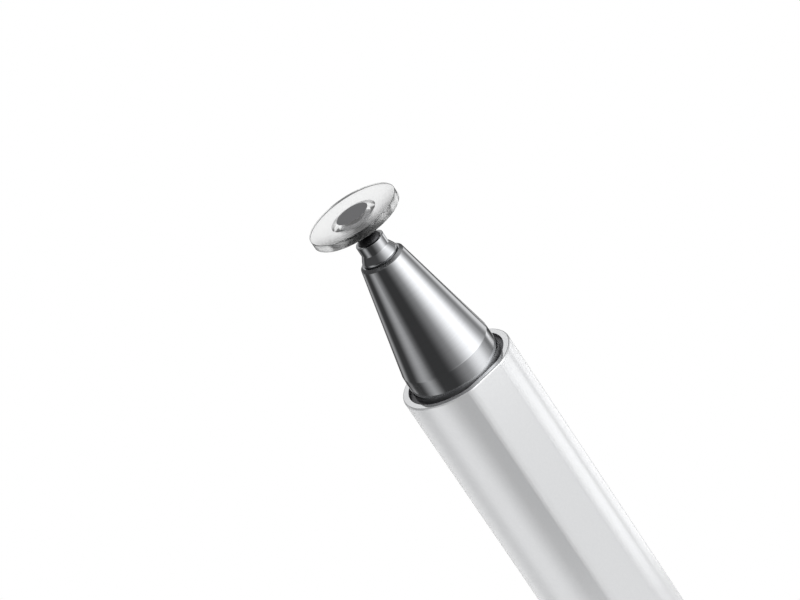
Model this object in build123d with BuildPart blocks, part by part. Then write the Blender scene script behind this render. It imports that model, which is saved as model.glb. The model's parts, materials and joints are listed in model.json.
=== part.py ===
"""Disc-tip stylus pen: a clear tilting disc on a ball joint, a polished nose cone and a D-section barrel.

Millimetres. The origin is the middle of the tail's flat end, +Z runs along the pen's axis to the tip,
and the barrel's flat faces -Y.
"""

import math
import os

from build123d import *

# Clearances
push_fit = 0.03  # radial, between pieces pushed or glued into each other
thread_fit = 0.03  # radial, between a plain-turned thread and its hole
running_fit = 0.02  # radial, in the ball joint
bond_gap = 0.01  # radial, between the disc and the insert moulded into it

# Barrel: a drawn tube, round with one flat
barrel_length = 130.7
barrel_radius = 4.5
barrel_flat = 4.2  # axis to the flat
barrel_flat_round = 1.2  # rounding of the flat's two long edges
barrel_wall = 0.5
barrel_end_round = 0.12

# Tail cap: a plug with a flange of the barrel's own outline
tail_flange = 1.6
tail_edge_round = 0.6
tail_plug_length = 6.0
tail_plug_wall = 1.0

# Cushion between the tail plug and the core
cushion_thickness = 2.0
cushion_gap = 0.2

# Magnet carrier, the moulded core that fills the barrel from the cushion to the spring
carrier_gap = 0.05

# Row of bar magnets behind the flat, with its steel backing and its lid
magnet_count = 6
magnet_width = 2.2
magnet_thickness = 1.2
magnet_spacing = 0.1
backing_thickness = 0.3
lid_thickness = 0.4
magnet_row_rear = 14.0  # carrier's rear end to the row
magnet_row_front = 13.9  # row to the carrier's front end
trough_gap = 0.03

# Balance weight in the core's bore
weight_radius = 1.2
weight_length = 60.0

# Spring that holds the core back against its cushion, and the washer it stands on
spring_washer_radius = 2.6
spring_washer_hole = 0.8
spring_washer_thickness = 0.4
core_spring_radius = 1.8  # to the middle of the wire
core_spring_wire = 0.4
core_spring_turns = 8
core_spring_room = 13.6  # washer to the end of the nose cone's shank

# Front bush, glued in the barrel, which the nose cone screws into
recess_depth = 0.3  # mouth of the barrel down to the bush
bush_length = 9.0
shank_radius = 2.5
shank_length = 7.0
seal_wire = 0.5
seal_groove_gap = 0.03

# Nose cone
plug_radius = 3.3
band_round_top = 0.55  # heights above the barrel's mouth
band_height = 1.7
nose_length = 10.61
band_radius = 3.60
band_top_radius = 3.57
cone_end_radius = 1.75
cone_end_chamfer = 0.15  # its height
cone_face_radius = 1.42  # flat end inside the chamfer

# Nib: washer, turned body, and the contact that presses on the ball from below
nib_washer_radius = 1.34
nib_washer_thickness = 0.05
nib_thread_radius = 1.0
nib_thread_length = 5.0
nib_thread_spare = 0.3  # depth of the cone's hole past the nib's end
nib_bore_radius = 0.62
nib_flange_radius = 1.41
nib_flange_height = 0.17
nib_flange_round = 0.05
flare_height = 0.55
neck_radius = 1.12
neck_height = 0.81
neck_rim_round = 0.04
seat_length = 0.8
seat_spring_radius = 0.45  # to the middle of the wire
seat_spring_wire = 0.14
seat_spring_turns = 4
seat_spring_length = 2.7
seat_screw_length = 1.3
seat_screw_slot = 0.25
seat_screw_slot_depth = 0.5

# Ball stud
ball_radius = 0.95
rim_over_ball = 0.336  # height of the neck's rim above the ball's centre
stem_radius = 0.5
ball_to_disc = 2.065  # ball's centre up to the disc's lower face
stud_head_radius = 1.5
stud_head_height = 0.25
rivet_radius = 0.35
rivet_length = 0.4

# Disc and its metal insert
disc_radius = 3.55
disc_thickness = 0.65
disc_edge_round = 0.04
insert_bottom_radius = 1.80
insert_top_radius = 1.27

# Heights and lengths along the pen, and one distance across it, that follow from the sizes above
mouth = tail_flange + barrel_length
bush_top = mouth - recess_depth
shank_end = bush_top - shank_length
tail_plug_end = tail_flange + tail_plug_length
carrier_bottom = tail_plug_end + cushion_thickness
core_spring_bottom = shank_end - core_spring_room
carrier_top = core_spring_bottom - spring_washer_thickness
carrier_length = carrier_top - carrier_bottom
cone_end = mouth + nose_length
nib_shoulder = cone_end + nib_washer_thickness
nib_end = nib_shoulder - nib_thread_length
flare_bottom = nib_shoulder + nib_flange_height
flare_top = flare_bottom + flare_height
neck_rim = flare_top + neck_height
ball_centre = neck_rim - rim_over_ball
disc_bottom = ball_centre + ball_to_disc
disc_top = disc_bottom + disc_thickness

bore_flat = barrel_flat - barrel_wall  # axis to the flat of the barrel's bore


def d_outline(inset=0.0):
    """The barrel's outer outline, drawn in by inset all round."""
    Circle(barrel_radius - inset)
    with Locations((0, inset - barrel_flat)):
        Rectangle(2 * barrel_radius, barrel_radius, align=(Align.CENTER, Align.MAX), mode=Mode.SUBTRACT)
    fillet(vertices().group_by(Axis.Y)[0], barrel_flat_round - inset)


def ball_height(radius, from_axis):
    """Half height of a ball of this radius at a distance from its axis."""
    return math.sqrt(radius**2 - from_axis**2)


def coil_path(radius, bottom, top, turns):
    """A coil about the pen's axis, as half-turn arcs that lean one way and then the other."""
    rise = (top - bottom) / (2 * turns)
    reach = math.hypot(radius, rise / 2)
    for half in range(2 * turns):
        side = 1 if half % 2 == 0 else -1
        low = bottom + half * rise
        ThreePointArc(
            (side * radius, 0, low),
            (0, side * reach, low + rise / 2),
            (-side * radius, 0, low + rise),
        )


os.makedirs("parts", exist_ok=True)

# Barrel: painted aluminium tube, open at both ends
with BuildPart() as barrel:
    with BuildSketch(Plane.XY.offset(tail_flange)):
        d_outline()
    extrude(amount=barrel_length)
    with BuildSketch(Plane.XY.offset(tail_flange)):
        d_outline(barrel_wall)
    extrude(amount=barrel_length, mode=Mode.SUBTRACT)
    for end in (barrel.faces().sort_by(Axis.Z)[0], barrel.faces().sort_by(Axis.Z)[-1]):
        fillet(end.outer_wire().edges(), barrel_end_round)
barrel.part.label = "barrel"
export_step(barrel.part, "parts/barrel.step")

# Tail cap: flange with a rounded edge, and a hollow plug pushed into the barrel
with BuildPart() as tail_cap:
    with BuildSketch(Plane.XY):
        d_outline()
    extrude(amount=tail_flange)
    fillet(tail_cap.faces().sort_by(Axis.Z)[0].edges(), tail_edge_round)
    fillet(tail_cap.faces().sort_by(Axis.Z)[-1].edges(), barrel_end_round)
    with BuildSketch(Plane.XY.offset(tail_flange)):
        d_outline(barrel_wall + push_fit)
    extrude(amount=tail_plug_length)
    with BuildSketch(Plane.XY.offset(tail_flange)):
        Circle(bore_flat - push_fit - tail_plug_wall)
    extrude(amount=tail_plug_length, mode=Mode.SUBTRACT)
tail_cap.part.label = "tail_cap"
export_step(tail_cap.part, "parts/tail_cap.step")

# Rear cushion: foam pad that keeps the core from rattling on the tail plug
with BuildPart() as rear_cushion:
    with BuildSketch(Plane.XY.offset(tail_plug_end)):
        d_outline(barrel_wall + cushion_gap)
    extrude(amount=cushion_thickness)
rear_cushion.part.label = "rear_cushion"
export_step(rear_cushion.part, "parts/rear_cushion.step")

# Magnet carrier: moulded core with a trough behind the flat and a bore for the weight
magnet_row_bottom = carrier_bottom + magnet_row_rear
magnet_row_length = carrier_length - magnet_row_rear - magnet_row_front
carrier_face = carrier_gap - bore_flat  # the core's own flat, as a Y value
trough_depth = lid_thickness + magnet_thickness + backing_thickness
with BuildPart() as magnet_carrier:
    with BuildSketch(Plane.XY.offset(carrier_bottom)):
        d_outline(barrel_wall + carrier_gap)
    extrude(amount=carrier_length)
    with BuildSketch(Plane.XY.offset(magnet_row_bottom - trough_gap)):
        with Locations((0, carrier_face)):
            Rectangle(
                magnet_width + 2 * trough_gap, trough_depth, align=(Align.CENTER, Align.MIN)
            )
    extrude(amount=magnet_row_length + 2 * trough_gap, mode=Mode.SUBTRACT)
    with BuildSketch(Plane.XY.offset(carrier_top)):
        Circle(weight_radius + push_fit)
    extrude(amount=-weight_length, mode=Mode.SUBTRACT)
magnet_carrier.part.label = "magnet_carrier"
export_step(magnet_carrier.part, "parts/magnet_carrier.step")

# Magnet backing: steel strip on the floor of the trough, which closes the magnets' field behind them
backing_front = carrier_face + trough_depth - backing_thickness
with BuildPart() as magnet_backing:
    with BuildSketch(Plane.XY.offset(magnet_row_bottom)):
        with Locations((0, backing_front)):
            Rectangle(magnet_width, backing_thickness, align=(Align.CENTER, Align.MIN))
    extrude(amount=magnet_row_length)
magnet_backing.part.label = "magnet_backing"
export_step(magnet_backing.part, "parts/magnet_backing.step")

# Bar magnets: a row in line behind the flat, which parks the pen on the edge of a tablet
magnet_pitch = (magnet_row_length + magnet_spacing) / magnet_count
magnet_length = magnet_pitch - magnet_spacing
with BuildPart() as bar_magnets:
    for place in range(magnet_count):
        with BuildSketch(Plane.XY.offset(magnet_row_bottom + place * magnet_pitch)):
            with Locations((0, backing_front)):
                Rectangle(magnet_width, magnet_thickness, align=(Align.CENTER, Align.MAX))
        extrude(amount=magnet_length)
bar_magnets.part.label = "bar_magnets"
export_step(bar_magnets.part, "parts/bar_magnets.step")

# Carrier lid: strip that closes the trough flush with the core's flat
with BuildPart() as carrier_lid:
    with BuildSketch(Plane.XY.offset(magnet_row_bottom)):
        with Locations((0, carrier_face)):
            Rectangle(magnet_width, lid_thickness, align=(Align.CENTER, Align.MIN))
    extrude(amount=magnet_row_length)
carrier_lid.part.label = "carrier_lid"
export_step(carrier_lid.part, "parts/carrier_lid.step")

# Balance weight: steel rod in the core's bore
with BuildPart() as balance_weight:
    with BuildSketch(Plane.XY.offset(carrier_top)):
        Circle(weight_radius)
    extrude(amount=-weight_length)
balance_weight.part.label = "balance_weight"
export_step(balance_weight.part, "parts/balance_weight.step")

# Spring washer: closes the weight's bore and carries the core spring
with BuildPart() as spring_washer:
    with BuildSketch(Plane.XY.offset(carrier_top)):
        Circle(spring_washer_radius)
        Circle(spring_washer_hole, mode=Mode.SUBTRACT)
    extrude(amount=spring_washer_thickness)
spring_washer.part.label = "spring_washer"
export_step(spring_washer.part, "parts/spring_washer.step")

# Core spring: between the washer and the end of the nose cone's shank
core_spring_low = core_spring_bottom + core_spring_wire / 2 + push_fit
core_spring_high = shank_end - core_spring_wire / 2 - push_fit
with BuildPart() as core_spring:
    with BuildLine() as core_spring_path:
        coil_path(core_spring_radius, core_spring_low, core_spring_high, core_spring_turns)
    with BuildSketch(Plane(origin=core_spring_path.line @ 0, z_dir=core_spring_path.line % 0)):
        Circle(core_spring_wire / 2)
    sweep(path=core_spring_path.line)
core_spring.part.label = "core_spring"
export_step(core_spring.part, "parts/core_spring.step")

# Front bush: glued in the barrel a little below its mouth, with a groove for the seal
seal_groove_radius = shank_radius + thread_fit + seal_wire + seal_groove_gap
with BuildPart() as front_bush:
    with BuildSketch(Plane.XY.offset(bush_top)):
        d_outline(barrel_wall + push_fit)
    extrude(amount=-bush_length)
    with BuildSketch(Plane.XY.offset(bush_top)):
        Circle(shank_radius + thread_fit)
    extrude(amount=-bush_length, mode=Mode.SUBTRACT)
    with BuildSketch(Plane.XY.offset(bush_top)):
        Circle(seal_groove_radius)
    extrude(amount=-seal_wire, mode=Mode.SUBTRACT)
front_bush.part.label = "front_bush"
export_step(front_bush.part, "parts/front_bush.step")

# Nose seal: rubber ring under the cone's plug, which keeps the thread from working loose
with BuildPart() as nose_seal:
    with BuildSketch(Plane.XZ):
        with Locations((seal_groove_radius - seal_groove_gap - seal_wire / 2, bush_top - seal_wire / 2)):
            Circle(seal_wire / 2)
    revolve(axis=Axis.Z)
nose_seal.part.label = "nose_seal"
export_step(nose_seal.part, "parts/nose_seal.step")

# Nose cone: turned and polished, with a rounded base band that stands clear of the barrel's mouth
with BuildPart() as nose_cone:
    with BuildSketch(Plane.XZ):
        with BuildLine():
            Polyline(
                (plug_radius, mouth),
                (plug_radius, bush_top),
                (shank_radius, bush_top),
                (shank_radius, shank_end),
                (0, shank_end),
                (0, cone_end),
                (cone_face_radius, cone_end),
                (cone_end_radius, cone_end - cone_end_chamfer),
                (band_top_radius, mouth + band_height),
                (band_radius, mouth + band_round_top),
            )
            TangentArc(
                (band_radius, mouth + band_round_top),
                (plug_radius, mouth),
                tangent=(0, -1),
            )
        make_face()
    revolve(axis=Axis.Z)
    with BuildSketch(Plane.XY.offset(cone_end)):
        Circle(nib_thread_radius + thread_fit)
    nib_hole_depth = nib_thread_length - nib_washer_thickness + nib_thread_spare
    extrude(amount=-nib_hole_depth, mode=Mode.SUBTRACT)
nose_cone.part.label = "nose_cone"
export_step(nose_cone.part, "parts/nose_cone.step")

# Nib washer: thin ring between the cone's end and the nib's flange
with BuildPart() as nib_washer:
    with BuildSketch(Plane.XY.offset(cone_end)):
        Circle(nib_washer_radius)
        Circle(nib_thread_radius + thread_fit, mode=Mode.SUBTRACT)
    extrude(amount=nib_washer_thickness)
nib_washer.part.label = "nib_washer"
export_step(nib_washer.part, "parts/nib_washer.step")

# Nib body: threaded tube with a flange, a flare and a cup whose lip is rolled over the ball
cup_radius = ball_radius + running_fit
lip_radius = ball_height(cup_radius, rim_over_ball)
cup_floor = ball_centre - ball_height(cup_radius, nib_bore_radius)
with BuildPart() as nib_body:
    with BuildSketch(Plane.XZ):
        with BuildLine():
            Polyline(
                (nib_bore_radius, cup_floor),
                (nib_bore_radius, nib_end),
                (nib_thread_radius, nib_end),
                (nib_thread_radius, nib_shoulder),
                (nib_flange_radius, nib_shoulder),
                (nib_flange_radius, flare_bottom),
                (neck_radius, flare_top),
                (neck_radius, neck_rim),
                (lip_radius, neck_rim),
            )
            ThreePointArc((lip_radius, neck_rim), (cup_radius, ball_centre), (nib_bore_radius, cup_floor))
        make_face()
    revolve(axis=Axis.Z)
    fillet(nib_body.faces().sort_by(Axis.Z)[-1].outer_wire().edges(), neck_rim_round)
    fillet(nib_body.edges().filter_by(GeomType.CIRCLE).group_by(SortBy.RADIUS)[-1], nib_flange_round)
nib_body.part.label = "nib_body"
export_step(nib_body.part, "parts/nib_body.step")

# Ball seat: brass contact in the nib's bore, hollowed to the ball
seat_radius = nib_bore_radius - running_fit
seat_rim = ball_centre - ball_height(cup_radius, seat_radius)
seat_bottom = seat_rim - seat_length
with BuildPart() as ball_seat:
    with BuildSketch(Plane.XZ):
        with BuildLine():
            Polyline(
                (0, ball_centre - cup_radius),
                (0, seat_bottom),
                (seat_radius, seat_bottom),
                (seat_radius, seat_rim),
            )
            ThreePointArc(
                (seat_radius, seat_rim),
                (seat_radius / 2, ball_centre - ball_height(cup_radius, seat_radius / 2)),
                (0, ball_centre - cup_radius),
            )
        make_face()
    revolve(axis=Axis.Z)
ball_seat.part.label = "ball_seat"
export_step(ball_seat.part, "parts/ball_seat.step")

# Seat spring: presses the seat up against the ball
seat_spring_high = seat_bottom - seat_spring_wire / 2 - running_fit
seat_spring_low = seat_bottom - seat_spring_length + seat_spring_wire / 2 + running_fit
with BuildPart() as seat_spring:
    with BuildLine() as seat_spring_path:
        coil_path(seat_spring_radius, seat_spring_low, seat_spring_high, seat_spring_turns)
    with BuildSketch(Plane(origin=seat_spring_path.line @ 0, z_dir=seat_spring_path.line % 0)):
        Circle(seat_spring_wire / 2)
    sweep(path=seat_spring_path.line)
seat_spring.part.label = "seat_spring"
export_step(seat_spring.part, "parts/seat_spring.step")

# Seat screw: slotted grub screw that closes the nib's bore and sets the spring
seat_screw_top = seat_bottom - seat_spring_length
with BuildPart() as seat_screw:
    with BuildSketch(Plane.XY.offset(seat_screw_top)):
        Circle(nib_bore_radius - thread_fit)
    extrude(amount=-seat_screw_length)
    with BuildSketch(Plane.XY.offset(seat_screw_top - seat_screw_length)):
        Rectangle(2 * nib_bore_radius, seat_screw_slot)
    extrude(amount=seat_screw_slot_depth, mode=Mode.SUBTRACT)
seat_screw.part.label = "seat_screw"
export_step(seat_screw.part, "parts/seat_screw.step")

# Ball stud: ball, stem and head in one, with a rivet that enters the disc's insert
ball_top = ball_centre + ball_height(ball_radius, stem_radius)
stud_head_bottom = disc_bottom - stud_head_height
with BuildPart() as ball_stud:
    with BuildSketch(Plane.XZ):
        with BuildLine():
            ThreePointArc(
                (0, ball_centre - ball_radius),
                (ball_radius, ball_centre),
                (stem_radius, ball_top),
            )
            Polyline(
                (stem_radius, ball_top),
                (stem_radius, stud_head_bottom),
                (stud_head_radius, stud_head_bottom),
                (stud_head_radius, disc_bottom),
                (rivet_radius, disc_bottom),
                (rivet_radius, disc_bottom + rivet_length),
                (0, disc_bottom + rivet_length),
                (0, ball_centre - ball_radius),
            )
        make_face()
    revolve(axis=Axis.Z)
ball_stud.part.label = "ball_stud"
export_step(ball_stud.part, "parts/ball_stud.step")

# Disc insert: metal plug, wider below, that carries the touch from the disc's face to the stud
with BuildPart() as disc_insert:
    with BuildSketch(Plane.XZ):
        with BuildLine():
            Polyline(
                (0, disc_bottom),
                (insert_bottom_radius, disc_bottom),
                (insert_top_radius, disc_top),
                (0, disc_top),
                close=True,
            )
        make_face()
    revolve(axis=Axis.Z)
    with BuildSketch(Plane.XY.offset(disc_bottom)):
        Circle(rivet_radius + bond_gap)
    extrude(amount=rivet_length + bond_gap, mode=Mode.SUBTRACT)
disc_insert.part.label = "disc_insert"
export_step(disc_insert.part, "parts/disc_insert.step")

# Tip disc: clear moulded disc that lies flat on the screen
with BuildPart() as tip_disc:
    with BuildSketch(Plane.XZ):
        with BuildLine():
            Polyline(
                (insert_bottom_radius + bond_gap, disc_bottom),
                (disc_radius, disc_bottom),
                (disc_radius, disc_top),
                (insert_top_radius + bond_gap, disc_top),
                close=True,
            )
        make_face()
    revolve(axis=Axis.Z)
    fillet(tip_disc.faces().sort_by(Axis.Z)[-1].outer_wire().edges(), disc_edge_round)
    fillet(tip_disc.faces().sort_by(Axis.Z)[0].outer_wire().edges(), disc_edge_round)
tip_disc.part.label = "tip_disc"
export_step(tip_disc.part, "parts/tip_disc.step")
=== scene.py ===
import json
import math

import bmesh
import bpy
from mathutils import Matrix, Vector


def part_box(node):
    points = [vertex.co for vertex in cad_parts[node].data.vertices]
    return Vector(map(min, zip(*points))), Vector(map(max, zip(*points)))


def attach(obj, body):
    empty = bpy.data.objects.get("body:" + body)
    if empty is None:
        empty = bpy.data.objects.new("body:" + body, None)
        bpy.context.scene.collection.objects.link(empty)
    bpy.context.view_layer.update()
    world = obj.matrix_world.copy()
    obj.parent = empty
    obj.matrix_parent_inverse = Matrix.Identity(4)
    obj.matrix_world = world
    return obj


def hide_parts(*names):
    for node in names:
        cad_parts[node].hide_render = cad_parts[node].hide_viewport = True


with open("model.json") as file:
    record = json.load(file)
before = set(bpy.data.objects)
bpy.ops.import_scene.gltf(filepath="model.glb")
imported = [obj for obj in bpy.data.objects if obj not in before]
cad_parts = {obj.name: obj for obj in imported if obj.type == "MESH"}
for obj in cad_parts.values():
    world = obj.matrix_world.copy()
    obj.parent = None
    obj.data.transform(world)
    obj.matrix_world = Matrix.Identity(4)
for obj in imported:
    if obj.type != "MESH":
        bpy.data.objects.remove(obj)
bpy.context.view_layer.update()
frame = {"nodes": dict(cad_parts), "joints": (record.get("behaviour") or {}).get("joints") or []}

# Barrel: a drawn aluminium tube, round with one flat along it, sprayed with pearl white lacquer. Both ends
# are cut square and their rims softened. The rest of the pen is pushed, glued or screwed into it.
mm = 0.001
barrel_low, barrel_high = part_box("barrel")
barrel_bottom = barrel_low.z / mm
mouth = barrel_high.z / mm
barrel_radius = barrel_high.x / mm
barrel_flat = -barrel_low.y / mm  # axis to the flat
flat_round = 1.2  # rounding of the flat's two long edges
barrel_wall = 0.5
rim_round = 0.12
touch = 0.001  # places nearer than this count as one
crease = math.radians(35)  # edges that bend more than this stay sharp


def d_outline(bends=10, turns=160):
    """Points round the barrel's section: its flat, a rounded edge, the big arc and the other rounded edge."""
    reach = barrel_radius - flat_round
    drop = barrel_flat - flat_round
    corner = math.acos(drop / reach)
    side = math.sqrt(reach**2 - drop**2)
    stretches = (
        (side, -drop, flat_round, 0, corner, bends),
        (0, 0, barrel_radius, corner, math.tau - corner, turns),
        (-side, -drop, flat_round, math.tau - corner, math.tau, bends),
    )
    points = []
    for x, y, radius, start, end, steps in stretches:
        for step in range(steps):
            turn = start + (end - start) * step / steps
            points.append((x + radius * math.sin(turn), y - radius * math.cos(turn)))
    points.append((-side, -barrel_flat))
    return points


def ring(name, count, radius, height):
    """A new piece, open in edit mode, that starts as one ring of edges about the pen's axis."""
    bpy.ops.object.select_all(action="DESELECT")
    bpy.ops.mesh.primitive_circle_add(vertices=count, radius=radius * mm, location=(0, 0, height * mm))
    bpy.ops.object.transform_apply(location=True)
    piece = bpy.context.object
    piece.name = piece.data.name = name
    bpy.ops.object.mode_set(mode="EDIT")
    bpy.ops.mesh.select_mode(type="EDGE")
    bpy.ops.mesh.select_all(action="SELECT")
    return piece


def d_ring(name, height):
    """A ring drawn in to the barrel's own outline."""
    points = d_outline()
    piece = ring(name, len(points), barrel_radius, height)
    shape = bmesh.from_edit_mesh(piece.data)
    for vertex, (x, y) in zip(shape.verts, points):
        vertex.co = x * mm, y * mm, height * mm
    bmesh.update_edit_mesh(piece.data)
    return piece


def raise_by(height):
    """Extrudes what is selected along the pen's axis."""
    bpy.ops.mesh.extrude_region_move(TRANSFORM_OT_translate={"value": (0, 0, height * mm)})


def soften(piece, width, belongs, segments):
    """Rounds over the edges that belong, with the piece open in edit mode."""
    bpy.ops.mesh.select_all(action="DESELECT")
    shape = bmesh.from_edit_mesh(piece.data)
    for edge in shape.edges:
        edge.select_set(belongs(edge))
    bmesh.update_edit_mesh(piece.data)
    bpy.ops.mesh.bevel(offset=width * mm, segments=segments, affect="EDGES")


def close(piece):
    """Merges the seam, turns the faces outwards, leaves edit mode and smooths all but the sharp edges."""
    bpy.ops.mesh.select_all(action="SELECT")
    bpy.ops.mesh.remove_doubles(threshold=touch * mm)
    bpy.ops.mesh.normals_make_consistent(inside=False)
    bpy.ops.object.mode_set(mode="OBJECT")
    bpy.ops.object.shade_smooth_by_angle(angle=crease)
    evened = piece.modifiers.new("evened", "WEIGHTED_NORMAL")
    evened.keep_sharp = True
    bpy.ops.object.modifier_apply(modifier=evened.name)


def linear(hex_colour):
    """An sRGB hex colour as the linear colour that a shader socket takes."""
    shares = [int(hex_colour[place : place + 2], 16) / 255 for place in (1, 3, 5)]
    return *(s / 12.92 if s <= 0.04045 else ((s + 0.055) / 1.055) ** 2.4 for s in shares), 1.0


def node(owner, kind, inputs=None, **settings):
    """Adds a shader node to a material or the world. An input is a value, or the output that feeds it."""
    made = owner.node_tree.nodes.new("ShaderNode" + kind)
    for name, value in settings.items():
        setattr(made, name, value)
    for socket, value in (inputs or {}).items():
        if isinstance(value, bpy.types.NodeSocket):
            owner.node_tree.links.new(value, made.inputs[socket])
        else:
            made.inputs[socket].default_value = value
    return made


def new_finish(name):
    """An empty material, and the place on the piece that its patterns read."""
    finish = bpy.data.materials.new(name)
    finish.use_nodes = True
    finish.node_tree.nodes.clear()
    return finish, node(finish, "TexCoord").outputs["Object"]


def about_axis(finish, place):
    """A place's height along the pen and its distance from the pen's axis, both in metres."""
    axes = node(finish, "SeparateXYZ", {0: place})
    across = node(finish, "CombineXYZ", {"X": axes.outputs["X"], "Y": axes.outputs["Y"]})
    distance = node(finish, "VectorMath", {0: across.outputs[0]}, operation="LENGTH")
    return axes.outputs["Z"], distance.outputs["Value"]


def dress(piece, finish):
    """Gives a piece one material all over."""
    piece.data.materials.clear()
    piece.data.materials.append(finish)


def upright(face):
    """Tells a wall along the pen from a face across it."""
    return abs(face.normal.z) < 0.5


def barrel_rim(edge):
    """The outer edge of either open end."""
    ends = (barrel_bottom, mouth)
    level = all(min(abs(v.co.z / mm - end) for end in ends) < touch for v in edge.verts)
    outside = any(upright(f) and f.normal.dot(f.calc_center_median()) > 0 for f in edge.link_faces)
    return level and outside


barrel = d_ring("barrel_tube", barrel_bottom)
raise_by(mouth - barrel_bottom)
bpy.ops.mesh.select_all(action="SELECT")
bpy.ops.mesh.normals_make_consistent(inside=False)
bpy.ops.object.mode_set(mode="OBJECT")
tube_wall = barrel.modifiers.new("tube_wall", "SOLIDIFY")
tube_wall.thickness = barrel_wall * mm
tube_wall.offset = -1
tube_wall.use_even_offset = True
bpy.ops.object.modifier_apply(modifier=tube_wall.name)
bpy.ops.object.mode_set(mode="EDIT")
soften(barrel, rim_round, barrel_rim, segments=4)
close(barrel)

# Pearl lacquer: mica flakes under a satin clear coat, so the white shines softly like a metal.
lacquer, place = new_finish("pearl_white_lacquer")
flake = 0.2  # drawn about four times as coarse as mica, to show at all
peel = 0.9  # width of the sprayed coat's faint ripples
peel_depth = 0.002
flakes = node(lacquer, "TexNoise", {"Vector": place, "Scale": 1 / (flake * mm), "Detail": 1.0})
ripples = node(lacquer, "TexNoise", {"Vector": place, "Scale": 1 / (peel * mm), "Detail": 0.0})
white = node(
    lacquer,
    "Mix",
    {0: flakes.outputs["Fac"], 6: linear("#EFF0F2"), 7: linear("#F6F7F8")},
    data_type="RGBA",
)
gloss = node(lacquer, "MapRange", {"Value": flakes.outputs["Fac"], "To Min": 0.14, "To Max": 0.18})
coat = node(
    lacquer, "Bump", {"Height": ripples.outputs["Fac"], "Strength": 0.1, "Distance": peel_depth * mm}
)
# The spray doesn't reach the bore, which is left grey: partly its anodising, partly painted shade for the gap
# round the cone.
bore_margin = 0.05  # how far into the tube's wall the bore's colour is laid
spray_reach = 0.02  # how far down the bore the spray goes
bore_edge = (barrel_radius - barrel_wall + bore_margin) * mm
bore_top = (mouth - spray_reach) * mm
height, radius = about_axis(lacquer, place)
inside = node(lacquer, "Math", {0: radius, 1: bore_edge}, operation="LESS_THAN")
below = node(lacquer, "Math", {0: height, 1: bore_top}, operation="LESS_THAN")
shaded_bore = node(lacquer, "Math", {0: inside.outputs[0], 1: below.outputs[0]}, operation="MULTIPLY")
# Painted shade: the bore's grey partly stands in for the shade in the gap round the cone.
lacquer_and_bore_shade = node(
    lacquer,
    "Mix",
    {0: shaded_bore.outputs[0], 6: white.outputs[2], 7: linear("#8E8E91")},
    data_type="RGBA",
)
# The rim was faced after drawing and lies smooth under the coat, so it mirrors the cone more sharply.
faced_depth = 0.015
pearl_metal = 0.4
rim_metal = 0.78
rim_gloss = 0.08
rim_start = (mouth - faced_depth) * mm
faced = node(lacquer, "Math", {0: height, 1: rim_start}, operation="GREATER_THAN")
rim = node(lacquer, "Math", {0: faced.outputs[0], 1: shaded_bore.outputs[0]}, operation="SUBTRACT", use_clamp=True)
mirror = node(lacquer, "MapRange", {"Value": rim.outputs[0], "To Min": pearl_metal, "To Max": rim_metal})
gloss = node(
    lacquer, "MapRange", {"Value": rim.outputs[0], "To Min": gloss.outputs[0], "To Max": rim_gloss}
)
shader = node(
    lacquer,
    "BsdfPrincipled",
    {
        "Base Color": lacquer_and_bore_shade.outputs[2],
        "Metallic": mirror.outputs[0],
        "Roughness": gloss.outputs[0],
        "Normal": coat.outputs[0],
    },
)
node(lacquer, "OutputMaterial", {"Surface": shader.outputs[0]})
dress(barrel, lacquer)
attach(barrel, "pen")
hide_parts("barrel")

# Tail cap: a moulded ABS plug with a flange of the barrel's outline, which the pen stands on. Its plug is
# hollow, is pushed into the barrel's rear end and stays there by its tight fit.
tail_low, tail_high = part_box("tail_cap")
tail_bottom = tail_low.z / mm
tail_top = tail_high.z / mm
tail_foot_round = 0.6
tail_push_fit = 0.03
tail_plug_wall = 1.0


def flange_edge(height):
    """Picks the outline's edges at this height, and none of the plug's."""
    reach = barrel_flat - barrel_wall
    return lambda edge: all(
        abs(v.co.z / mm - height) < touch and v.co.xy.length / mm > reach for v in edge.verts
    )


def flange_top(edge):
    """The upper edge of the flange's wall."""
    walls = [f for f in edge.link_faces if upright(f) and f.calc_center_median().z / mm < barrel_bottom]
    return flange_edge(barrel_bottom)(edge) and len(edge.link_faces) == 2 and len(walls) > 0


tail = d_ring("tail_plug", tail_bottom)
bpy.ops.mesh.edge_face_add()
raise_by(barrel_bottom - tail_bottom)
bpy.ops.mesh.inset(thickness=(barrel_wall + tail_push_fit) * mm)
raise_by(tail_top - barrel_bottom)
bpy.ops.mesh.inset(thickness=tail_plug_wall * mm)
raise_by(barrel_bottom - tail_top)
soften(tail, tail_foot_round, flange_edge(tail_bottom), segments=8)
soften(tail, rim_round, flange_top, segments=4)
close(tail)

# White ABS: moulded in a lightly eroded tool, so it has a soft even shine and no flakes.
abs_white, place = new_finish("moulded_white_abs")
erosion = 0.35  # drawn coarser than the tool's spark marks, to show at all
erosion_depth = 0.004
marks = node(abs_white, "TexNoise", {"Vector": place, "Scale": 1 / (erosion * mm), "Detail": 3.0})
white = node(
    abs_white,
    "Mix",
    {0: marks.outputs["Fac"], 6: linear("#EDEEF0"), 7: linear("#F4F5F6")},
    data_type="RGBA",
)
gloss = node(abs_white, "MapRange", {"Value": marks.outputs["Fac"], "To Min": 0.26, "To Max": 0.36})
sparked = node(
    abs_white, "Bump", {"Height": marks.outputs["Fac"], "Strength": 0.2, "Distance": erosion_depth * mm}
)
shader = node(
    abs_white,
    "BsdfPrincipled",
    {
        "Base Color": white.outputs[2],
        "Roughness": gloss.outputs[0],
        "IOR": 1.54,
        "Normal": sparked.outputs[0],
    },
)
node(abs_white, "OutputMaterial", {"Surface": shader.outputs[0]})
dress(tail, abs_white)
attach(tail, "pen")
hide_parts("tail_cap")

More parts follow.
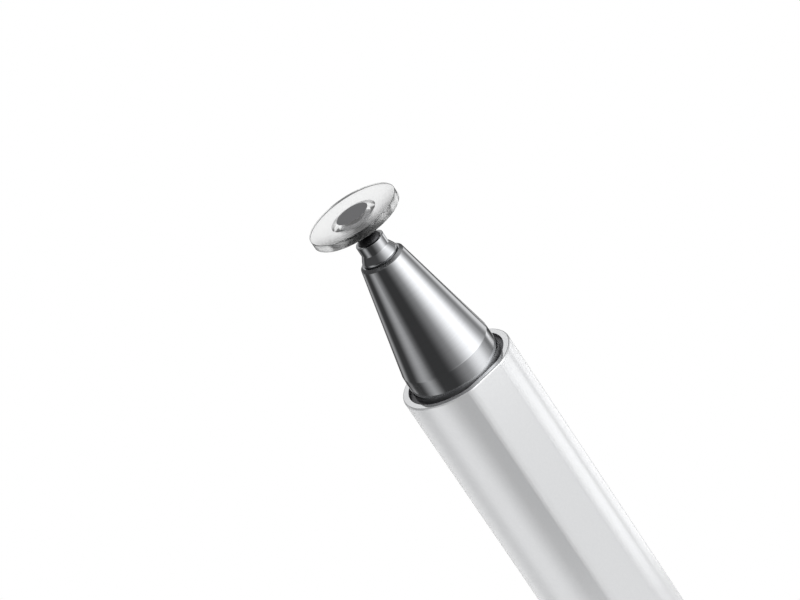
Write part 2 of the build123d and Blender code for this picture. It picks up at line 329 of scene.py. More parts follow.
# Rear cushion: a die-cut pad of black polyurethane foam between the tail plug and the core. It is squeezed
# lightly when the nose is screwed home, and keeps the core from rattling.
# Cut foam: its open cells swallow the light, so it is matt and pitted.
foam, place = new_finish("cut_polyurethane_foam")
cell = 0.4
cell_depth = 0.1
cells = node(foam, "TexVoronoi", {"Vector": place, "Scale": 1 / (cell * mm)})
black = node(
    foam,
    "Mix",
    {0: cells.outputs["Distance"], 6: linear("#101011"), 7: linear("#2E2E30")},
    data_type="RGBA",
)
pits = node(
    foam, "Bump", {"Height": cells.outputs["Distance"], "Strength": 0.8, "Distance": cell_depth * mm}
)
shader = node(
    foam, "BsdfPrincipled", {"Base Color": black.outputs[2], "Roughness": 0.95, "Normal": pits.outputs[0]}
)
node(foam, "OutputMaterial", {"Surface": shader.outputs[0]})
dress(frame["nodes"]["rear_cushion"], foam)

# Magnet carrier and its lid: a core moulded in grey glass-filled nylon, with a trough behind the barrel's
# flat for the magnets and a strip that snaps in over them. It slides into the barrel from the front.
# Glass-filled nylon: dull and grey, and its glass fibres show as faint streaks.
nylon, place = new_finish("glass_filled_nylon")
fibre = 0.3
fibre_depth = 0.02
fibres = node(
    nylon, "TexNoise", {"Vector": place, "Scale": 1 / (fibre * mm), "Detail": 4.0, "Distortion": 1.5}
)
grey = node(
    nylon,
    "Mix",
    {0: fibres.outputs["Fac"], 6: linear("#6E7073"), 7: linear("#85878A")},
    data_type="RGBA",
)
grain = node(nylon, "Bump", {"Height": fibres.outputs["Fac"], "Strength": 0.3, "Distance": fibre_depth * mm})
shader = node(
    nylon,
    "BsdfPrincipled",
    {"Base Color": grey.outputs[2], "Roughness": 0.6, "IOR": 1.53, "Normal": grain.outputs[0]},
)
node(nylon, "OutputMaterial", {"Surface": shader.outputs[0]})
for name in ("magnet_carrier", "carrier_lid"):
    dress(frame["nodes"][name], nylon)

# Bar magnets: sintered magnets with a bright nickel plate, six in line behind the flat. They hold the pen
# to the edge of a tablet and hold each other and their backing in the trough.
# Nickel plate: bright and slightly warm, scuffed by tumbling in the plating barrel.
nickel, place = new_finish("nickel_plated_magnet")
tumble = 0.5  # marks of the plating barrel
scuffs = node(nickel, "TexNoise", {"Vector": place, "Scale": 1 / (tumble * mm), "Detail": 5.0})
silver = node(
    nickel,
    "Mix",
    {0: scuffs.outputs["Fac"], 6: linear("#B9B6AE"), 7: linear("#CCC9C2")},
    data_type="RGBA",
)
gloss = node(nickel, "MapRange", {"Value": scuffs.outputs["Fac"], "To Min": 0.2, "To Max": 0.4})
shader = node(
    nickel,
    "BsdfPrincipled",
    {"Base Color": silver.outputs[2], "Metallic": 1.0, "Roughness": gloss.outputs[0]},
)
node(nickel, "OutputMaterial", {"Surface": shader.outputs[0]})
dress(frame["nodes"]["bar_magnets"], nickel)

# Steel inside the core: the strip behind the magnets, the rod that balances the pen, and the washer that the
# core spring stands on. All are cut from drawn or rolled mild steel and only lightly oiled.
# Drawn steel: plain grey, with fine lines along the pen.
steel, place = new_finish("drawn_mild_steel")
drawing = 0.12  # spacing of the lines that drawing leaves
lengthwise = (1, 1, 0.02)  # draws a grain out into lines along the pen
along = node(steel, "Mapping", {"Vector": place, "Scale": lengthwise})
lines = node(steel, "TexNoise", {"Vector": along.outputs[0], "Scale": 1 / (drawing * mm), "Detail": 2.0})
metal = node(
    steel,
    "Mix",
    {0: lines.outputs["Fac"], 6: linear("#8B8C8E"), 7: linear("#A9AAAC")},
    data_type="RGBA",
)
gloss = node(steel, "MapRange", {"Value": lines.outputs["Fac"], "To Min": 0.3, "To Max": 0.5})
shader = node(
    steel,
    "BsdfPrincipled",
    {"Base Color": metal.outputs[2], "Metallic": 1.0, "Roughness": gloss.outputs[0]},
)
node(steel, "OutputMaterial", {"Surface": shader.outputs[0]})
for name in ("magnet_backing", "balance_weight", "spring_washer"):
    dress(frame["nodes"][name], steel)

# Springs: hard-drawn spring wire, coiled and blued by its heat treatment. The large one holds the core back
# against its cushion, and the small one presses the contact up to the ball.
# Blued wire: a thin oxide turns the bright steel blue-grey in patches.
spring_wire, place = new_finish("blued_spring_wire")
scale_size = 0.25
bluing = node(spring_wire, "TexNoise", {"Vector": place, "Scale": 1 / (scale_size * mm), "Detail": 2.0})
blued = node(
    spring_wire,
    "Mix",
    {0: bluing.outputs["Fac"], 6: linear("#5B6068"), 7: linear("#7E8186")},
    data_type="RGBA",
)
gloss = node(spring_wire, "MapRange", {"Value": bluing.outputs["Fac"], "To Min": 0.25, "To Max": 0.4})
shader = node(
    spring_wire,
    "BsdfPrincipled",
    {"Base Color": blued.outputs[2], "Metallic": 1.0, "Roughness": gloss.outputs[0]},
)
node(spring_wire, "OutputMaterial", {"Surface": shader.outputs[0]})
for name in ("core_spring", "seat_spring"):
    dress(frame["nodes"][name], spring_wire)

# Front bush: a grey acetal sleeve glued into the barrel a little below its mouth. The nose cone screws into
# it, and it shows only as the floor of the gap round the cone.
# Turned acetal: smooth and even, with a dull shine.
acetal, place = new_finish("turned_grey_acetal")
turning = 0.2
tool_lines = node(acetal, "TexNoise", {"Vector": place, "Scale": 1 / (turning * mm), "Detail": 2.0})
grey = node(
    acetal,
    "Mix",
    {0: tool_lines.outputs["Fac"], 6: linear("#6E6E71"), 7: linear("#7A7A7D")},
    data_type="RGBA",
)
gloss = node(acetal, "MapRange", {"Value": tool_lines.outputs["Fac"], "To Min": 0.4, "To Max": 0.55})
shader = node(
    acetal,
    "BsdfPrincipled",
    {"Base Color": grey.outputs[2], "Roughness": gloss.outputs[0], "IOR": 1.48},
)
node(acetal, "OutputMaterial", {"Surface": shader.outputs[0]})
dress(frame["nodes"]["front_bush"], acetal)

# Nose seal: a nitrile rubber ring in the bush's groove, squeezed by the cone's plug, which keeps the thread
# from working loose.
# Nitrile rubber: black and matt under a faint grey bloom.
rubber, place = new_finish("nitrile_rubber")
bloom = 0.15
dust = node(rubber, "TexNoise", {"Vector": place, "Scale": 1 / (bloom * mm), "Detail": 3.0})
black = node(
    rubber,
    "Mix",
    {0: dust.outputs["Fac"], 6: linear("#0E0E0E"), 7: linear("#1C1C1D")},
    data_type="RGBA",
)
shader = node(rubber, "BsdfPrincipled", {"Base Color": black.outputs[2], "Roughness": 0.8, "IOR": 1.52})
node(rubber, "OutputMaterial", {"Surface": shader.outputs[0]})
dress(frame["nodes"]["nose_seal"], rubber)

# Nose cone: turned from brass bar, polished and plated in dark chrome. A nearly straight band at its base
# stands in the barrel's mouth with a gap all round, and its shank below is screwed into the bush.
cone_low, cone_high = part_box("nose_cone")
shank_end = cone_low.z / mm
cone_end = cone_high.z / mm
band_height = 1.7  # above the barrel's mouth
band_top = mouth + band_height
band_top_radius = 3.57
foot_spread = 0.02  # the band widens evenly from its top down to the bush
foot_radius = cone_high.x / mm + foot_spread
band_crease = 0.04  # fine rounding where the cone meets its band
shank_radius = 2.5
bush_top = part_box("front_bush")[1].z / mm
cone_end_radius = 1.75
cone_end_chamfer = 0.2  # its height
cone_end_round = 0.03
cone_face_radius = 1.54  # flat end inside the chamfer
nib_hole_radius = 1.03
nib_hole_depth = 5.25
axis_ring = 0.05  # radius of a ring that stands for the axis
fine_turn = 256  # steps round the pieces that show most


def turned(name, profile, count=192):
    """A piece turned about the pen's axis, open in edit mode: a ring is extruded along the profile's
    (radius, height) points in mm, from the first round to the first again, or from end to end."""
    (radius, height), *others = profile
    piece = ring(name, count, radius, height)
    for next_radius, next_height in others:
        raise_by(next_height - height)
        ratio = next_radius / radius
        bpy.ops.transform.resize(value=(ratio, ratio, 1), center_override=(0, 0, next_height * mm))
        radius, height = next_radius, next_height
    bpy.ops.mesh.select_all(action="SELECT")
    bpy.ops.mesh.remove_doubles(threshold=touch * mm)
    bpy.ops.mesh.fill_holes(sides=0)
    bpy.ops.mesh.normals_make_consistent(inside=False)
    return piece


def ring_edge(radius, height):
    """Picks the edges of one ring of a turned piece."""
    return lambda edge: all(
        abs(v.co.z / mm - height) < touch and abs(v.co.xy.length / mm - radius) < touch for v in edge.verts
    )


def straight(start, end, share=0.06):
    """Two profile points near the ends of a straight stretch, which keep its shading even."""
    (radius_a, height_a), (radius_b, height_b) = start, end
    return [
        (radius_a + (radius_b - radius_a) * s, height_a + (height_b - height_a) * s)
        for s in (share, 1 - share)
    ]


nose = turned(
    "nose_cone_shell",
    [
        (nib_hole_radius, cone_end),
        (cone_face_radius, cone_end),
        (cone_end_radius, cone_end - cone_end_chamfer),
        (band_top_radius, band_top),
        *straight((band_top_radius, band_top), (foot_radius, bush_top)),
        (foot_radius, bush_top),
        (shank_radius, bush_top),
        (shank_radius, shank_end),
        (axis_ring, shank_end),
        (axis_ring, cone_end - nib_hole_depth),
        (nib_hole_radius, cone_end - nib_hole_depth),
        (nib_hole_radius, cone_end),
    ],
    fine_turn,
)
soften(nose, cone_end_round, ring_edge(cone_end_radius, cone_end - cone_end_chamfer), segments=3)
soften(nose, band_crease, ring_edge(band_top_radius, band_top), segments=3)
close(nose)

# Dark chrome: a polished plate that mirrors the room at about a third of its light, faintly lined by turning.
chrome, place = new_finish("polished_dark_chrome")
polish = 0.15  # drawn coarser than the polishing lines, to show at all
crosswise = (0.05, 0.05, 1)  # draws a grain out into lines round the pen
lathe = node(chrome, "Mapping", {"Vector": place, "Scale": crosswise})
lines = node(chrome, "TexNoise", {"Vector": lathe.outputs[0], "Scale": 1 / (polish * mm), "Detail": 1.0})
grey = node(
    chrome,
    "Mix",
    {0: lines.outputs["Fac"], 6: linear("#919294"), 7: linear("#98999B")},
    data_type="RGBA",
)
gloss = node(chrome, "MapRange", {"Value": lines.outputs["Fac"], "To Min": 0.04, "To Max": 0.06})
# The polishing wheel doesn't reach the band's foot, which stays satin where it stands in the gap.
wheel_fades = 0.3  # above the barrel's mouth
wheel_ends = 0.1
foot_satin = 0.55
height, radius = about_axis(chrome, place)
gloss = node(
    chrome,
    "MapRange",
    {
        "Value": height,
        "From Min": (mouth + wheel_fades) * mm,
        "From Max": (mouth + wheel_ends) * mm,
        "To Min": gloss.outputs[0],
        "To Max": foot_satin,
    },
)
# The chamfer round the cone's end was cut after polishing, and keeps a fine satin.
chamfer_satin = 0.25
chamfer_foot = (cone_end - cone_end_chamfer - cone_end_round) * mm
chamfer_inner = (cone_face_radius - cone_end_round) * mm
beyond = node(chrome, "Math", {0: radius, 1: chamfer_inner}, operation="GREATER_THAN")
above = node(chrome, "Math", {0: height, 1: chamfer_foot}, operation="GREATER_THAN")
chamfer = node(chrome, "Math", {0: beyond.outputs[0], 1: above.outputs[0]}, operation="MULTIPLY")
gloss = node(
    chrome, "MapRange", {"Value": chamfer.outputs[0], "To Min": gloss.outputs[0], "To Max": chamfer_satin}
)
shader = node(
    chrome,
    "BsdfPrincipled",
    {"Base Color": grey.outputs[2], "Metallic": 1.0, "Roughness": gloss.outputs[0]},
)
node(chrome, "OutputMaterial", {"Surface": shader.outputs[0]})
dress(nose, chrome)
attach(nose, "pen")
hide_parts("nose_cone")

# Nib washer: a thin ring stamped from brass and plated like the nib. The nib's flange, which is a little
# wider, is screwed down on it, so only its edge shows, as a fine dark line.
washer_low, washer_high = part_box("nib_washer")
washer_bottom = washer_low.z / mm
washer_top = washer_high.z / mm
washer_radius = washer_high.x / mm
washer = turned(
    "nib_washer_ring",
    [
        (nib_hole_radius, washer_bottom),
        (washer_radius, washer_bottom),
        (washer_radius, washer_top),
        (nib_hole_radius, washer_top),
        (nib_hole_radius, washer_bottom),
    ],
)
close(washer)
dress(washer, chrome)
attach(washer, "pen")
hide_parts("nib_washer")

# Nib body: turned brass, polished and plated, with a flange, a flared foot and a neck whose lip is rolled in
# over the ball. Its threaded tube below holds the ball's contact and spring.
nib_low, nib_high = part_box("nib_body")
nib_bottom = nib_low.z / mm
neck_rim = nib_high.z / mm
nib_flange_radius = nib_high.x / mm
nib_flange_height = 0.17
flare_height = 0.55
flare_bottom = washer_top + nib_flange_height
flare_top = flare_bottom + flare_height
neck_radius = 1.12
flange_round = 0.05
flare_round = 0.03  # the hollow where the flare meets the neck
rim_edge_round = 0.04
thread_radius = 1.0
nib_bore = 0.62
ball_radius = 0.95
running_fit = 0.02
ball_centre = frame["joints"][0]["pos_m"][2] / mm
cup_radius = ball_radius + running_fit
lip_angle = math.degrees(math.asin((neck_rim - ball_centre) / cup_radius))
floor_angle = -math.degrees(math.acos(nib_bore / cup_radius))


def arc(radius, height, bend, start, end, steps):
    """Profile points on an arc about (radius, height). Angles are in degrees from straight outwards."""
    turns = [math.radians(start + (end - start) * step / steps) for step in range(steps + 1)]
    return [(radius + bend * math.cos(turn), height + bend * math.sin(turn)) for turn in turns]


nib = turned(
    "nib_neck",
    [
        (nib_bore, nib_bottom),
        (thread_radius, nib_bottom),
        (thread_radius, washer_top),
        (nib_flange_radius, washer_top),
        (nib_flange_radius, flare_bottom),
        (neck_radius, flare_top),
        *straight((neck_radius, flare_top), (neck_radius, neck_rim)),
        (neck_radius, neck_rim),
        *arc(0, ball_centre, cup_radius, lip_angle, floor_angle, steps=16),
        (nib_bore, nib_bottom),
    ],
)
for height in (washer_top, flare_bottom):
    soften(nib, flange_round, ring_edge(nib_flange_radius, height), segments=4)
soften(nib, flare_round, ring_edge(neck_radius, flare_top), segments=3)
soften(nib, rim_edge_round, ring_edge(neck_radius, neck_rim), segments=4)
close(nib)
dress(nib, chrome)
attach(nib, "pen")
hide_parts("nib_body")

# Ball seat and its screw: turned brass in the nib's bore. The seat is hollowed to the ball and passes the
# touch signal on, and the slotted screw below sets how hard the spring presses it.
# Turned brass: yellow and satin, with the tool's fine lines round it.
brass, place = new_finish("turned_brass")
cut = 0.08
lathe = node(brass, "Mapping", {"Vector": place, "Scale": crosswise})
lines = node(brass, "TexNoise", {"Vector": lathe.outputs[0], "Scale": 1 / (cut * mm), "Detail": 2.0})
yellow = node(
    brass,
    "Mix",
    {0: lines.outputs["Fac"], 6: linear("#C9A75A"), 7: linear("#DDBE74")},
    data_type="RGBA",
)
gloss = node(brass, "MapRange", {"Value": lines.outputs["Fac"], "To Min": 0.25, "To Max": 0.4})
shader = node(
    brass,
    "BsdfPrincipled",
    {"Base Color": yellow.outputs[2], "Metallic": 1.0, "Roughness": gloss.outputs[0]},
)
node(brass, "OutputMaterial", {"Surface": shader.outputs[0]})
for name in ("ball_seat", "seat_screw"):
    dress(frame["nodes"][name], brass)

# Ball stud: ball, stem and head turned in one, black-plated and burnished. The ball swivels in the nib's cup,
# and a rivet on the head is pressed into the disc's insert.
stud_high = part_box("ball_stud")[1]
stem_radius = 0.5
head_radius = stud_high.x / mm
head_height = 0.25
rivet_radius = 0.35
rivet_top = stud_high.z / mm
disc_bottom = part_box("tip_disc")[0].z / mm
head_bottom = disc_bottom - head_height
ball_foot = -87  # angle of the ball's lowest ring
stem_angle = math.degrees(math.acos(stem_radius / ball_radius))
stud = turned(
    "ball_stud_turned",
    [
        *arc(0, ball_centre, ball_radius, ball_foot, stem_angle, steps=40),
        (stem_radius, head_bottom),
        (head_radius, head_bottom),
        (head_radius, disc_bottom),
        (rivet_radius, disc_bottom),
        (rivet_radius, rivet_top),
    ],
)
close(stud)

# Black nickel: a nearly black plate with a soft shine, a little worn where the ball rubs.
plate, place = new_finish("burnished_black_nickel")
rub = 0.1
wear = node(plate, "TexNoise", {"Vector": place, "Scale": 1 / (rub * mm), "Detail": 3.0})
black = node(
    plate,
    "Mix",
    {0: wear.outputs["Fac"], 6: linear("#38383A"), 7: linear("#4A4A4C")},
    data_type="RGBA",
)
gloss = node(plate, "MapRange", {"Value": wear.outputs["Fac"], "To Min": 0.25, "To Max": 0.4})
shader = node(
    plate,
    "BsdfPrincipled",
    {"Base Color": black.outputs[2], "Metallic": 1.0, "Roughness": gloss.outputs[0]},
)
node(plate, "OutputMaterial", {"Surface": shader.outputs[0]})
dress(stud, plate)
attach(stud, "disc")
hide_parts("ball_stud")

# Disc insert: a small turned plug of grey metal, wider below so that the disc can't lift off it. Its flat top
# is flush with the disc's face and touches the screen.
insert_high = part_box("disc_insert")[1]
insert_bottom_radius = insert_high.x / mm
insert_top_radius = 1.27
disc_top = insert_high.z / mm
rivet_fit = 0.01
rivet_hole_depth = 0.41
rivet_hole = rivet_radius + rivet_fit
rivet_hole_top = disc_bottom + rivet_hole_depth
insert = turned(
    "disc_insert_plug",
    [
        (axis_ring, disc_top),
        (insert_top_radius, disc_top),
        (insert_bottom_radius, disc_bottom),
        (rivet_hole, disc_bottom),
        (rivet_hole, rivet_hole_top),
        (axis_ring, rivet_hole_top),
    ],
)
close(insert)

# Grey metal: a sintered plug, ground flat, with a fine even grain that keeps it satin.
sinter, place = new_finish("ground_sintered_metal")
grit = 0.06
grains = node(sinter, "TexNoise", {"Vector": place, "Scale": 1 / (grit * mm), "Detail": 2.0})
grey = node(
    sinter,
    "Mix",
    {0: grains.outputs["Fac"], 6: linear("#6C6C6E"), 7: linear("#78787A")},
    data_type="RGBA",
)
gloss = node(sinter, "MapRange", {"Value": grains.outputs["Fac"], "To Min": 0.35, "To Max": 0.45})
# Its side is left as it was turned, which is smoother than the ground top.
surface_depth = 0.005  # depth that counts as the surface
turned_gloss = 0.15
axes = node(sinter, "SeparateXYZ", {0: place})
ground_from = (disc_top - surface_depth) * mm
ground = node(sinter, "Math", {0: axes.outputs["Z"], 1: ground_from}, operation="GREATER_THAN")
gloss = node(
    sinter, "MapRange", {"Value": ground.outputs[0], "To Min": turned_gloss, "To Max": gloss.outputs[0]}
)
shader = node(
    sinter,
    "BsdfPrincipled",
    {"Base Color": grey.outputs[2], "Metallic": 1.0, "Roughness": gloss.outputs[0]},
)
node(sinter, "OutputMaterial", {"Surface": shader.outputs[0]})
dress(insert, sinter)
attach(insert, "disc")
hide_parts("disc_insert")

# Tip disc: a clear polycarbonate disc moulded round the insert, with a polished top and a frosted underside.
# Its edges are rounded so that it glides, and it tilts on the ball to lie flat on the screen.
disc_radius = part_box("tip_disc")[1].x / mm
disc_edge_round = 0.04
bond_gap = 0.01
hole_top_radius = insert_top_radius + bond_gap
hole_bottom_radius = insert_bottom_radius + bond_gap
disc = turned(
    "tip_disc_clear",
    [
        (hole_top_radius, disc_top),
        (disc_radius, disc_top),
        (disc_radius, disc_bottom),
        (hole_bottom_radius, disc_bottom),
        (hole_top_radius, disc_top),
    ],
    fine_turn,
)
for height in (disc_top, disc_bottom):
    soften(disc, disc_edge_round, ring_edge(disc_radius, height), segments=5)
close(disc)

# Clear polycarbonate: colourless and bright, with only a breath of haze from handling.
clear, place = new_finish("clear_polycarbonate")
smear = 1.5
haze = node(clear, "TexNoise", {"Vector": place, "Scale": 1 / (smear * mm), "Detail": 2.0})
tint = node(
    clear,
    "Mix",
    {0: haze.outputs["Fac"], 6: linear("#FAFBFB"), 7: linear("#FFFFFF")},
    data_type="RGBA",
)
gloss = node(clear, "MapRange", {"Value": haze.outputs["Fac"], "To Min": 0.0, "To Max": 0.03})
# Its underside is finely frosted, which blurs the nib behind it, but mirrors as polished at a low angle.
under_top = (disc_bottom + surface_depth) * mm
height, radius = about_axis(clear, place)
slant = node(clear, "LayerWeight", {"Blend": 0.5})
frost = node(
    clear,
    "MapRange",
    {"Value": slant.outputs["Facing"], "From Min": 0.3, "From Max": 0.6, "To Min": 0.25, "To Max": 0.15},
)
under = node(clear, "Math", {0: height, 1: under_top}, operation="LESS_THAN")
gloss = node(
    clear, "MapRange", {"Value": under.outputs[0], "To Min": gloss.outputs[0], "To Max": frost.outputs[0]}
)
# The outer wall is a little less well polished than the top.
wall_gloss = 0.1
wall_from = (disc_radius - surface_depth) * mm
wall = node(clear, "Math", {0: radius, 1: wall_from}, operation="GREATER_THAN")
gloss = node(
    clear, "MapRange", {"Value": wall.outputs[0], "To Min": gloss.outputs[0], "To Max": wall_gloss}
)
# The wall of the insert's hole is clear where it is seen square on, and scatters what grazes it.
hole_edge = (hole_bottom_radius + surface_depth) * mm
hole_end = (disc_top - surface_depth) * mm
within = node(clear, "Math", {0: radius, 1: hole_edge}, operation="LESS_THAN")
lower = node(clear, "Math", {0: height, 1: hole_end}, operation="LESS_THAN")
hole = node(clear, "Math", {0: within.outputs[0], 1: lower.outputs[0]}, operation="MULTIPLY")
graze = node(
    clear,
    "MapRange",
    {"Value": slant.outputs["Facing"], "From Min": 0.42, "From Max": 0.52, "To Min": 0.1, "To Max": 0.3},
)
gloss = node(
    clear, "MapRange", {"Value": hole.outputs[0], "To Min": gloss.outputs[0], "To Max": graze.outputs[0]}
)
shader = node(
    clear,
    "BsdfPrincipled",
    {
        "Base Color": tint.outputs[2],
        "Roughness": gloss.outputs[0],
        "IOR": 1.585,
        "Transmission Weight": 1.0,
    },
)
node(clear, "OutputMaterial", {"Surface": shader.outputs[0]})
dress(disc, clear)
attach(disc, "disc")
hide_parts("tip_disc")

# Floor: a table laid with white paper that fades into a white room. Near the pen it takes the lamps' light
# and the pen's shadow, and further off it is plain white, for the eye and for what mirrors or bends the view.
floor_radius = 2000.0
floor_facets = 96
shadow_reach = 100.0  # the shadow fades from here on
fade_reach = 170.0  # and the paper is plain white from here on
floor_glow = 0.35  # share of white that the paper gives by itself near the pen
bpy.ops.object.select_all(action="DESELECT")
bpy.ops.mesh.primitive_circle_add(vertices=floor_facets, radius=floor_radius * mm, fill_type="NGON")
floor = bpy.context.object
floor.name = floor.data.name = "floor"


def in_view(owner):
    """1 for rays that come from the eye, off a mirror or through glass, and 0 for those that gather light."""
    path = node(owner, "LightPath")
    seen = path.outputs["Is Camera Ray"]
    for kind in ("Is Glossy Ray", "Is Transmission Ray"):
        seen = node(owner, "Math", {0: seen, 1: path.outputs[kind]}, operation="MAXIMUM").outputs[0]
    return seen


# White paper: matt, so it takes the pen's shadow and mirrors nothing.
table_top, place = new_finish("matt_white_paper")
seen = in_view(table_top)
away = node(table_top, "VectorMath", {0: place}, operation="LENGTH")
fade = node(
    table_top,
    "MapRange",
    {"Value": away.outputs["Value"], "From Min": shadow_reach * mm, "From Max": fade_reach * mm},
    interpolation_type="SMOOTHSTEP",
)
paper = node(table_top, "BsdfDiffuse", {"Color": linear("#E8E8E8")})
glow = node(table_top, "Math", {0: seen, 1: floor_glow}, operation="MULTIPLY")
lit = node(table_top, "Emission", {"Strength": glow.outputs[0]})
near = node(table_top, "AddShader", {0: paper.outputs[0], 1: lit.outputs[0]})
far = node(table_top, "Emission", {"Strength": 1.0})
fade_seen = node(table_top, "Math", {0: fade.outputs[0], 1: seen}, operation="MULTIPLY")
both = node(
    table_top, "MixShader", {0: fade_seen.outputs[0], 1: near.outputs[0], 2: far.outputs[0]}
)
node(table_top, "OutputMaterial", {"Surface": both.outputs[0]})
dress(floor, table_top)

# Room: plain white walls a long way off. They are white to the eye, to mirrors and to glass, and a soft dim
# light from all round on everything else.
room = bpy.data.worlds.new("white_room")
room.use_nodes = True
room.node_tree.nodes.clear()
room_fill = 0.79
level = node(room, "MapRange", {"Value": in_view(room), "To Min": room_fill, "To Max": 1.0})
sky = node(room, "Background", {"Strength": level.outputs[0]})
node(room, "OutputWorld", {"Surface": sky.outputs[0]})
bpy.context.scene.world = room
bpy.context.scene.view_settings.view_transform = "Standard"

# Camera: a long lens that looks down on the tip from the front left, rolled so that the pen leans to the left
# in the picture. It is placed by the pixel where the middle of the barrel's mouth lies.
picture_width, picture_height = 800, 600
sensor_width = 36.0
focal_pixels = 4027.3
view_azimuth = math.radians(-21.55)
view_elevation = math.radians(23.411)
view_roll = math.radians(33.968)
mouth_pixel = (455.8, 368.36)
mouth_depth = 292.15  # along the line of sight
back = Vector(
    (
        math.sin(view_azimuth) * math.cos(view_elevation),
        -math.cos(view_azimuth) * math.cos(view_elevation),
        math.sin(view_elevation),
    )
)
sideways = Vector((math.cos(view_azimuth), math.sin(view_azimuth), 0))
upwards = back.cross(sideways)
right = sideways * math.cos(view_roll) - upwards * math.sin(view_roll)
up = sideways * math.sin(view_roll) + upwards * math.cos(view_roll)
camera_data = bpy.data.cameras.new("camera")
camera_data.sensor_width = sensor_width
camera_data.lens = focal_pixels * sensor_width / picture_width
camera_data.clip_start = 0.01
camera_data.clip_end = 20
camera = bpy.data.objects.new("camera", camera_data)
bpy.context.scene.collection.objects.link(camera)
pixel = mouth_depth * mm / focal_pixels
eye = (
    Vector((0, 0, mouth * mm))
    - right * (mouth_pixel[0] - picture_width / 2) * pixel
    + up * (mouth_pixel[1] - picture_height / 2) * pixel
    + back * mouth_depth * mm
)
turned_to = Matrix((right, up, back)).transposed().to_4x4()
camera.matrix_world = Matrix.Translation(eye) @ turned_to
bpy.context.scene.camera = camera

# Cards: curved panels on one ring round the pen, with graded edges so that their mirror images fade softly.
# Bright ones are its lamps and dark ones keep the white room off the metal, and the camera sees neither.
card_ring = 200.0
card_facets = 360  # of the whole ring
card_step = 0.2  # each card stands this much further out than the one before it
barrel_rows = (0.0, 45.5)  # heights that the barrel's front end mirrors
band_rows = (46.0, 64.0)  # the cone's base band and the nib's neck
left_rows = (41.0, 64.0)  # the same at the pen's left side
right_rows = (41.0, 57.5)  # the band at its right side
nose_rows = (64.0, 165.0)  # the cone
rim_rows = (64.0, 125.0)  # the cone's far side
nib_rows = (165.0, 300.0)  # the nib's flared foot
upper_rows = (165.0, 420.0)  # the flared foot and the edge of the cone's end
side_rows = (126.0, 420.0)  # the same on the right
hood_rows = (165.0, 515.0)  # what the disc bends down to the eye from above
low_rows = (0.0, 55.0)  # what it bends up
charcoal = 0.11  # brightness of most dark cards
soot = 0.015  # of the darkest, over the disc
spill = 0.1  # share of a lamp's light that falls on matt surfaces
cards = []


def card(name, brightness, start, end, start_fade, end_fade, rows, cover=1.0, seen_by="metal"):
    """A panel from one angle to another, in degrees to the right of the camera. A brightness of 1 is the
    room's, each fade is the angle over which that edge is graded, and cover is how much it hides. A card
    stands for what metal and lacquer mirror, for what is seen through the disc, or for both."""
    piece = ring(name, card_facets, card_ring + card_step * len(cards), rows[0])
    cards.append(piece)
    raise_by(rows[1] - rows[0])
    middle = math.radians((start + end) / 2) + view_azimuth
    half = math.radians((end - start) / 2)
    facing = Vector((math.sin(middle), -math.cos(middle)))
    shape = bmesh.from_edit_mesh(piece.data)
    spare = [f for f in shape.faces if f.calc_center_median().xy.angle(facing) > half]
    bmesh.ops.delete(shape, geom=spare, context="FACES")
    bmesh.update_edit_mesh(piece.data)
    bpy.ops.object.mode_set(mode="OBJECT")
    panel, place = new_finish(name)
    ahead = node(panel, "Mapping", {"Vector": place, "Rotation": (0, 0, math.pi / 2 - middle)})
    axes = node(panel, "SeparateXYZ", {0: ahead.outputs[0]})
    angle = node(panel, "Math", {0: axes.outputs["Y"], 1: axes.outputs["X"]}, operation="ARCTAN2")
    share = cover
    for edge, inner in ((-half, math.radians(start_fade) - half), (half, half - math.radians(end_fade))):
        ramp = node(
            panel,
            "MapRange",
            {"Value": angle.outputs[0], "From Min": edge, "From Max": inner},
            interpolation_type="SMOOTHSTEP",
        )
        share = node(panel, "Math", {0: ramp.outputs[0], 1: share}, operation="MULTIPLY").outputs[0]
    bare = node(panel, "BsdfTransparent")
    path = node(panel, "LightPath")
    level = node(
        panel,
        "MapRange",
        {"Value": path.outputs["Is Diffuse Ray"], "To Min": brightness, "To Max": brightness * spill},
    )
    glow = node(panel, "Emission", {"Strength": level.outputs[0]})
    graded = node(panel, "MixShader", {0: share, 1: bare.outputs[0], 2: glow.outputs[0]})
    node(panel, "OutputMaterial", {"Surface": graded.outputs[0]})
    dress(piece, panel)
    piece.visible_camera = piece.visible_shadow = False
    piece.visible_diffuse = brightness > 1
    piece.visible_transmission = seen_by != "metal"
    piece.visible_glossy = seen_by != "glass"


# Dark cards for the cone, the band and neck, the flared foot, the barrel and the disc. An end at 181 degrees
# closes the seam behind the pen.
card("front_flag", charcoal, -78, 24, 34, 46, nose_rows, 1.0, "both")
card("left_flag", charcoal, -150, -76, 28, 33, nose_rows)
card("back_left_flag", charcoal, -181, -134, 1, 26, nose_rows, 0.95)
card("side_flag", charcoal, 102, 126, 11, 11, nose_rows, 0.42)
card("back_right_flag", charcoal, 138, 181, 16, 1, nose_rows, 0.95)
card("front_flag_band", charcoal, -76, 40, 30, 60, band_rows, 1.0, "both")
card("left_flag_band", charcoal, -152, -72, 28, 34, band_rows)
card("back_left_flag_band", charcoal, -181, -126, 1, 30, left_rows)
card("side_flag_band", charcoal, 94, 122, 14, 10, band_rows, 0.52)
card("back_right_flag_band", charcoal, 128, 181, 20, 1, right_rows)
card("upper_flag", 0.16, -172, 26, 20, 60, upper_rows)
card("upper_side_flag", charcoal, 120, 172, 20, 15, side_rows, 0.85)
card("front_flag_foot", 0.26, -68, 8, 45, 6, barrel_rows)
card("left_flag_foot", charcoal, -142, -82, 30, 24, barrel_rows, 0.3)
card("disc_hood", soot, -150, 55, 15, 20, hood_rows, 1.0, "glass")
card("disc_side_hood", 0.02, 55, 150, 10, 12, hood_rows, 1.0, "glass")
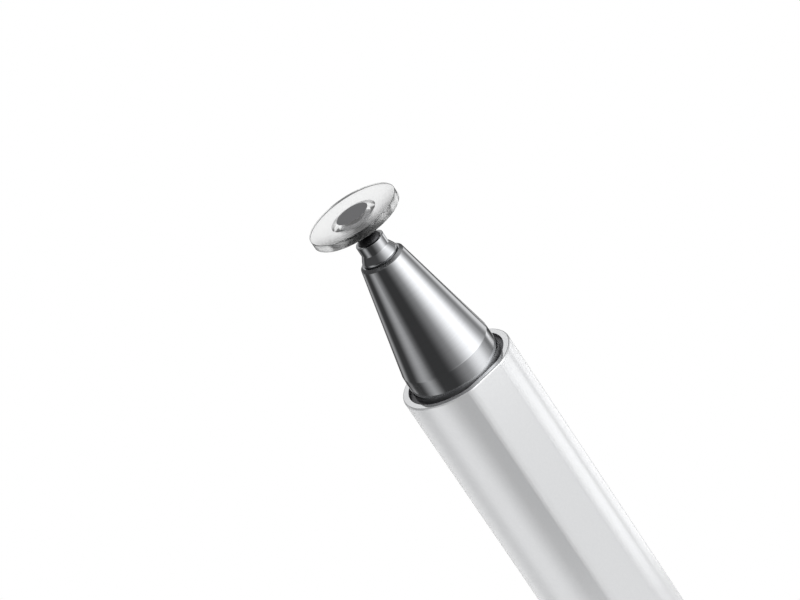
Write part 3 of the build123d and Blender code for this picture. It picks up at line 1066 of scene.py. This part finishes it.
card("disc_floor_flag", 0.3, -152, -105, 15, 15, low_rows, 0.85, "glass")

# Lamps: the broad key light at the right and the narrow rim light behind it, at each of these heights.
card("key_lamp", 3.55, 8, 105, 54, 37, nose_rows)
card("rim_lamp", 1.6, 121, 150, 11, 11, rim_rows)
card("key_lamp_band", 2.6, 20, 98, 40, 34, band_rows)
card("rim_lamp_band", 2.2, 116, 142, 12, 12, band_rows)
card("key_lamp_top", 2.95, 0, 116, 70, 50, nib_rows)
card("key_lamp_foot", 1.7, 52, 120, 8, 14, barrel_rows)
card("rim_lamp_foot", 1.5, 116, 168, 15, 15, barrel_rows)

# Ceiling flag: a round dark panel over the pen, graded at its edge as the cards are. It keeps the white room
# above out of the disc and out of the upward faces of the metal, and it casts no shadow.
ceiling_height = 520.0
ceiling_facets = 96
ceiling_radius = 300.0
ceiling_fade = 80.0
ceiling_grey = 0.25  # as the metal sees it, while the disc sees soot
ceiling = ring("ceiling_flag", ceiling_facets, ceiling_radius, ceiling_height)
bpy.ops.mesh.edge_face_add()
bpy.ops.object.mode_set(mode="OBJECT")
panel, place = new_finish("ceiling_flag")
flat = node(panel, "VectorMath", {0: place, 1: (1, 1, 0)}, operation="MULTIPLY")
away = node(panel, "VectorMath", {0: flat.outputs[0]}, operation="LENGTH")
share = node(
    panel,
    "MapRange",
    {
        "Value": away.outputs["Value"],
        "From Min": ceiling_radius * mm,
        "From Max": (ceiling_radius - ceiling_fade) * mm,
    },
    interpolation_type="SMOOTHSTEP",
)
bare = node(panel, "BsdfTransparent")
path = node(panel, "LightPath")
level = node(
    panel,
    "MapRange",
    {"Value": path.outputs["Is Transmission Ray"], "To Min": ceiling_grey, "To Max": soot},
)
glow = node(panel, "Emission", {"Strength": level.outputs[0]})
graded = node(panel, "MixShader", {0: share.outputs[0], 1: bare.outputs[0], 2: glow.outputs[0]})
node(panel, "OutputMaterial", {"Surface": graded.outputs[0]})
dress(ceiling, panel)
ceiling.visible_camera = ceiling.visible_shadow = ceiling.visible_diffuse = False
